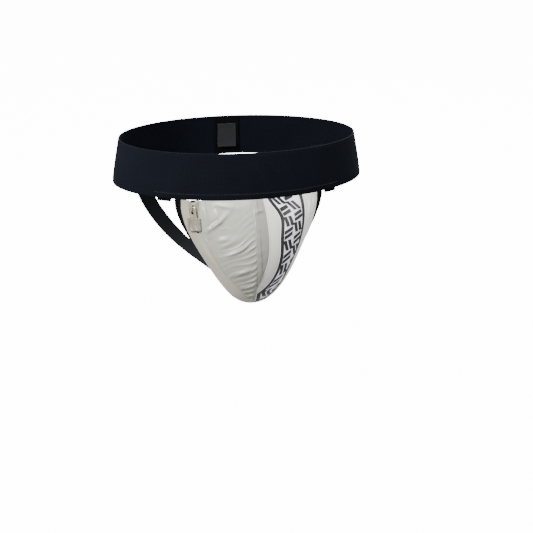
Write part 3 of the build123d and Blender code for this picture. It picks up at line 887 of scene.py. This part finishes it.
# the rear layer of the cup pocket, flat from crease to crease
pocket = {"mouth": 0.12, "foot": 0.94, "sideGap": 3 * mm, "setBack": 1 * mm, "thickness": 0.8 * mm,
          "hem": 9 * mm, "sag": 1.2 * mm, "foldAnchor": (0, -0.056, -0.159), "foldKeep": 0.3}
piece, across, down = clothGrid("pocket_back_mesh", 90, 110)
share = pocket["mouth"] + (pocket["foot"] - pocket["mouth"]) * down
edge, out = creaseLine.at(share), pouchRows(share)[1]
half = edge[:, 0] - pocket["sideGap"]
edge[:, 0] = half * (2 * across - 1)
along = creaseLine.lengthTo(share)
fromMouth = along - along.min()
waves = pocket["sag"] * np.sin(np.pi * across) * (0.5 + 0.6 * noiseAt(edge, 26, 6.6))
hem = 0.35 * mm * np.exp(-((fromMouth - pocket["hem"]) / (1.2 * mm)) ** 2)
places = edge - out * (pocket["setBack"] + waves - hem)[:, None]
setPlaces(piece, places)
setFlat(piece, edge[:, 0], -along)
finishCloth(piece, pocket["thickness"], "knittedMesh")
standFor(piece, "supporter", "pocket_back")
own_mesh(piece)
print("lining and pocket made")


# black binding round the leg openings; its declared cut width is less than such a tape's usual 16 mm
binding = {"proud": 0.35 * mm, "thickness": 2.7 * mm, "roundness": 0.8 * mm, "cutWidth": 12 * mm}


def legBinding(name, node, side):
    piece, across, down = clothGrid(name, 10, 200)
    _, _, radius, halfAngle = pouchRows(down)
    inner, outer = side * (halfAngle - bindingWidth / radius), side * halfAngle
    left, right = (inner, outer) if side > 0 else (outer, inner)
    angle = left + (right - left) * across
    seam = np.exp(-((np.abs(angle * side - halfAngle) * radius - bindingWidth + 1.3 * mm) / (0.6 * mm)) ** 2)
    lift = binding["proud"] - 0.3 * mm * seam + 0.12 * mm * np.sin(frontLine.lengthTo(down) / (3.4 * mm))
    setPlaces(piece, pouchPoints(down, angle, lift))
    setFlat(piece, angle * radius, -creaseLine.lengthTo(down))
    finishCloth(piece, binding["thickness"], "twillTape", bevel=binding["roundness"])
    standFor(piece, "supporter", node)
    return piece


bindings = {1: legBinding("leg_binding_left_tape", "leg_binding_left", 1),
            -1: legBinding("leg_binding_right_tape", "leg_binding_right", -1)}


# leg straps, from the foot of the pouch round the thigh to the hip
strap = {
    "start": (12.5, -34.5, -166.3),
    "shares": [(0.186, 0.508, 0.019), (0.532, 0.948, 0.191), (0.853, 1.073, 0.535)],
    "width": 24 * mm, "thickness": 1.6 * mm, "hipAngle": 38, "inset": 3.5 * mm, "overlap": 18 * mm,
    "turnedBy": 0.8, "edgeStep": 0.25 * mm, "edgeIn": 2.2 * mm,
}


# a place inside the waistband where a leg strap is sewn, and the way out from there
def hipPlace(height):
    sideways, behind = bandPoints(np.array([0, math.pi / 2]), np.full(2, height), strap["inset"])
    wide, deep, middle = sideways[0], behind[1] - sideways[1], sideways[1]
    angle = math.radians(strap["hipAngle"])
    outward = Vector((math.cos(angle) / wide, math.sin(angle) / deep, 0)).normalized()
    return Vector((wide * math.cos(angle), middle + deep * math.sin(angle), height)), outward


def legStrap(name, node, side):
    edge, outward = hipPlace(bandLow)
    end, _ = hipPlace(bandLow + strap["overlap"])
    start = Vector(strap["start"]) * mm
    way = edge - start
    middle = [start + Vector((way.x * x, way.y * y, way.z * z)) for x, y, z in strap["shares"]]
    path = Curve([start] + middle + [edge, end])
    piece, across, down = clothGrid(name, 20, 240)
    centre = path.at(down)
    step = 0.002
    tangent = unit(path.at(np.clip(down + step, 0, 1)) - path.at(np.clip(down - step, 0, 1)))
    turned = np.minimum(1, down / strap["turnedBy"])[:, None]
    normal = unit(np.array([0, 0, -1]) * (1 - turned) + np.array(outward) * turned)
    sideways = unit(np.cross(tangent, normal))
    normal = np.cross(sideways, tangent)
    off = (across - 0.5) * strap["width"]
    groove = np.exp(-((strap["width"] / 2 - np.abs(off) - strap["edgeIn"]) / (0.5 * mm)) ** 2)
    lift = strap["thickness"] / 2 - strap["edgeStep"] * groove
    places = centre + sideways * off[:, None] + normal * lift[:, None]
    places[:, 0] *= side
    setPlaces(piece, places)
    setFlat(piece, off, path.lengthTo(down))
    # the cloth's outside faces away from the leg
    facing = np.array(piece.data.polygons[len(piece.data.polygons) // 2].normal)
    middleNormal = normal[len(normal) // 2] * np.array([side, 1, 1])
    if facing @ middleNormal < 0:
        makeActive(piece)
        bpy.ops.object.mode_set(mode="EDIT")
        bpy.ops.mesh.select_all(action="SELECT")
        bpy.ops.mesh.flip_normals()
        bpy.ops.object.mode_set(mode="OBJECT")
    finishCloth(piece, strap["thickness"], "strapElastic", bevel=0.4 * mm)
    standFor(piece, "supporter", node)
    return piece


legStrap("leg_strap_left_elastic", "leg_strap_left", 1)
legStrap("leg_strap_right_elastic", "leg_strap_right", -1)

# the patch under the foot of the pouch, where both straps meet
crotchPatch = {"width": 44 * mm, "length": 16 * mm, "middle": (0, -28, -169.2), "thickness": 1.3 * mm,
               "seamIn": 2.4 * mm, "puff": 0.25 * mm}
piece, across, down = clothGrid("crotch_patch_tape", 56, 24)
x, y = (across - 0.5) * crotchPatch["width"], (0.5 - down) * crotchPatch["length"]
fromEdge = np.minimum(crotchPatch["width"] / 2 - np.abs(x), crotchPatch["length"] / 2 - np.abs(y))
seam = np.exp(-((fromEdge - crotchPatch["seamIn"]) / (0.8 * mm)) ** 2)
centre = np.array(crotchPatch["middle"]) * mm
setPlaces(piece, centre + np.stack([x, y, crotchPatch["puff"] * (seam - 1)], 1))
setFlat(piece, x, y)
finishCloth(piece, crotchPatch["thickness"], "twillTape", bevel=0.35 * mm)
standFor(piece, "supporter", "crotch_patch")
print("bindings and straps made")


# zip: tapes, guard, chain, slider and puller

zipCloth = {
    # name: node, across from and to, out of the pouch, thickness, cloth
    "zip_tape_inner_twill": ("zip_tape_inner", 2.85 * mm, 6.0 * mm, 0.0, 0.6 * mm, "sandPolyester"),
    "zip_tape_outer_twill": ("zip_tape_outer", -6.0 * mm, -2.85 * mm, 0.0, 0.6 * mm, "sandPolyester"),
    "zip_guard_mesh": ("zip_guard", -6.3 * mm, 6.3 * mm, -3.95 * mm, 0.6 * mm, "knittedMesh"),
}
for name, (node, low, high, out, thickness, cloth) in zipCloth.items():
    piece, across, down = clothGrid(name, 12, 70)
    x, y = low + (high - low) * across, -zipSize["length"] * down
    sag = 0.08 * mm * np.cos(2 * np.pi * across) * (1 if "tape" in name else 4)
    lift = out - sag * np.sin(np.pi * across) ** 2
    setPlaces(piece, zipPoints(x, y, lift))
    setFlat(piece, x, y)
    finishCloth(piece, thickness, cloth, bevel=0.12 * mm)
    standFor(piece, "supporter", node)

for node in ("zip_teeth_inner", "zip_teeth_outer", "zip_top_stop", "zip_bottom_stop"):
    wear(frame["nodes"][node], "acetal")


# a merged copy of a part, free of its body
def copyOf(node, name):
    makeActive(frame["nodes"][node])
    bpy.ops.object.duplicate()
    piece = bpy.context.object
    piece.name = name
    bpy.ops.object.parent_clear(type="CLEAR_KEEP_TRANSFORM")
    for key in [key for key in piece.keys() if key.startswith("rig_")]:
        del piece[key]
    mergeDoubles(piece, 0.01 * mm)
    return piece


# a copy of a hard part with its edges softened
def softenedCopy(name, node, body, bevel, material):
    piece = copyOf(node, name)
    bpy.ops.object.mode_set(mode="EDIT")
    bpy.ops.mesh.select_all(action="SELECT")
    bpy.ops.mesh.dissolve_limited(angle_limit=math.radians(1))
    bpy.ops.object.mode_set(mode="OBJECT")
    addBevel(piece, bevel, 2, 40)
    applyModifiers(piece)
    wear(piece, material)
    smoothShade(piece, 35)
    standFor(piece, body, node)
    return piece


# slider, bail and puller: silver metal whose beige tint is a painted reflection of the sand cloth
softenedCopy("zip_slider_cast", "zip_slider", "zip_slider", 0.16 * mm, "zincPaintedReflection")
softenedCopy("slider_bail_cast", "slider_bail", "zip_slider", 0.22 * mm, "zincPaintedReflection")
softenedCopy("puller_cast", "puller", "zip_puller", 0.18 * mm, "zincPaintedReflection")
print("zip made")


# cup: the shell keeps its shape, and its soft edge is rounded

wear(frame["nodes"]["cup_shell"], "polypropylene")

gasket = {"voxel": 0.8 * mm, "smooth": 6}
piece = copyOf("cup_gasket", "cup_gasket_moulded")
remesh = piece.modifiers.new("remesh", "REMESH")
remesh.mode = "VOXEL"
remesh.voxel_size = gasket["voxel"]
soften = piece.modifiers.new("soften", "SMOOTH")
soften.iterations = gasket["smooth"]
applyModifiers(piece)
wear(piece, "elastomer")
smoothShade(piece, 60)
standFor(piece, "cup", "cup_gasket")
print("cup made")


# stitching: one stitch, copied along every sewn line

stitch = {"length": 2.7 * mm, "width": 0.62 * mm, "height": 0.42 * mm, "pitch": 3.4 * mm, "sink": 0.08 * mm}


def makeStitch(material):
    deselectAll()
    bpy.ops.mesh.primitive_uv_sphere_add(segments=6, ring_count=5, radius=0.5)
    piece = bpy.context.object
    bpy.ops.transform.resize(value=(stitch["length"], stitch["width"], stitch["height"]))
    bpy.ops.object.transform_apply(location=True, rotation=True, scale=True)
    # blunt ends, and both ends sunk into the cloth
    for vertex in piece.data.vertices:
        share = vertex.co.x / (stitch["length"] / 2)
        vertex.co.z -= stitch["height"] * 0.45 * abs(share) ** 3
    piece.data.materials.append(materials[material])
    return piece


# stitches along a line of places; each lies on the nearest cloth beneath
def stitchLine(name, places, cloths, material="paleThreadPaintedShade", pitch=None, sway=0.0, body="supporter", turn=0.0):
    pitch = pitch or stitch["pitch"]
    steps = np.linalg.norm(np.diff(places, axis=0), axis=1)
    length = np.concatenate([[0], np.cumsum(steps)])
    count = max(2, int(length[-1] / pitch))
    marks = (np.arange(count) + 0.5) * length[-1] / count
    spots = np.stack([np.interp(marks, length, places[:, i]) for i in range(3)], 1)
    ahead = np.stack([np.interp(marks + 0.0005, length, places[:, i]) for i in range(3)], 1)
    behind = np.stack([np.interp(marks - 0.0005, length, places[:, i]) for i in range(3)], 1)
    first = makeStitch(material)
    copies = []
    for i, (spot, way) in enumerate(zip(spots, ahead - behind)):
        best = None
        for cloth in cloths:
            found, hit, normal, _ = cloth.closest_point_on_mesh(Vector(spot))
            if found and (best is None or (hit - Vector(spot)).length < best[0]):
                best = ((hit - Vector(spot)).length, hit, normal)
        _, hit, normal = best
        along = Vector(way)
        along = (along - normal * along.dot(normal)).normalized()
        side = normal.cross(along)
        if turn:
            swing = math.radians(turn if i % 2 else -turn)
            along, side = (along * math.cos(swing) + side * math.sin(swing),
                           side * math.cos(swing) - along * math.sin(swing))
        place = hit + normal * (stitch["height"] / 2 - stitch["sink"]) + side * sway * (1 if i % 2 else -1)
        copy = first.copy()
        copy.data = first.data.copy()
        copy.matrix_world = Matrix((along, side, normal)).transposed().to_4x4()
        copy.matrix_world.translation = place
        bpy.context.collection.objects.link(copy)
        copies.append(copy)
    deselectAll()
    bpy.data.objects.remove(first)
    for copy in copies:
        copy.select_set(True)
    bpy.context.view_layer.objects.active = copies[0]
    bpy.ops.object.join()
    piece = bpy.context.object
    bpy.ops.object.transform_apply(location=True, rotation=True, scale=True)
    piece.name = name
    smoothShade(piece, 60)
    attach(piece, body)
    return piece


# places beside a seam of the pouch, some metres to one side of it
def seamLine(edge, offset, start, end):
    down = np.linspace(start, end, 160)
    angle = panelEdge(edge, down)
    _, _, radius, _ = pouchRows(down)
    return pouchPoints(down, angle + offset / radius, 0.0006)


zipEnd = 0.27          # share of the pouch down to the foot of the zip
# the pale thread's darker colour is painted shade along these stitch lines
pouchSeams = {
    # name: edge, offset, start, end, cloths, thread
    "stitches_centre_inner": ("centre", 1.3 * mm, 0.01, 0.47, ["narrow_strip"], "paleThreadPaintedShade"),
    "stitches_centre_outer": ("centre", 4.9 * mm, 0.01, 0.46, ["narrow_strip"], "paleThreadPaintedShade"),
    "stitches_side_inner": ("side", 1.2 * mm, zipEnd, 0.62, ["centre_panel"], "paleThreadPaintedShade"),
    "stitches_side_outer": ("side", 4.6 * mm, zipEnd, 0.60, ["centre_panel"], "paleThreadPaintedShade"),
    "stitches_insert": ("strip", 1.2 * mm, 0.01, 0.46, ["white_insert"], "paleThreadPaintedShade"),
    "stitches_outer": ("outer", 1.2 * mm, 0.01, 0.95, ["outer_side_panel"], "paleThreadPaintedShade"),
    "stitches_zip_inner": (lambda height: zipEdge(1, height), 2.0 * mm, 0.01, zipEnd,
                           ["centre_panel"], "paleThreadPaintedShade"),
    "stitches_zip_outer": (lambda height: zipEdge(-1, height), -2.0 * mm, 0.01, zipEnd,
                           ["zip_side_panel"], "paleThreadPaintedShade"),
}
for name, (edge, offset, start, end, cloths, thread) in pouchSeams.items():
    stitchLine(name, seamLine(edge, offset, start, end), [panels[cloth] for cloth in cloths], thread)

for side, name in ((1, "stitches_binding_left"), (-1, "stitches_binding_right")):
    down = np.linspace(0.01, 0.99, 200)
    _, _, radius, halfAngle = pouchRows(down)
    line = pouchPoints(down, side * (halfAngle - (bindingWidth - 1.4 * mm) / radius), 0.001)
    stitchLine(name, line, [bindings[side]], "blackThread")


# a line of stitches on the waistband's cone, at one height between two angles
def bandLine(startAngle, endAngle, height, inset):
    angle = np.radians(np.linspace(startAngle, endAngle, 200))
    return bandPoints(angle, np.full_like(angle, height), inset)


# the zigzag that sews the pouch to the waistband
stitchLine("stitches_waistband", bandLine(-135, -45, bandLow + 7 * mm, -0.001), [waistband], "blackThread",
           pitch=2.1 * mm, turn=38)
print("stitching made")


bpy.ops.mesh.primitive_plane_add(size=studio["floorSize"],
                                 location=(0, 0, cadBox[0][2] - studio["floorDrop"]))
floor = bpy.context.object
floor.name = "floor"
floorMaterial, floorTree, floorShader = newMaterial(
    "paintedFloor", {"Base Color": studio["floorColour"], "Roughness": 0.95})
floorShader.inputs["Emission Color"].default_value = linear(studio["glowColour"])
floorTree.links.new(backdropStrength(floorTree, 0.0), floorShader.inputs["Emission Strength"])
floor.data.materials.append(floorMaterial)
floor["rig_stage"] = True

size = {"cad": [list(corner) for corner in cadBox], "visual": [list(corner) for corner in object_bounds()]}
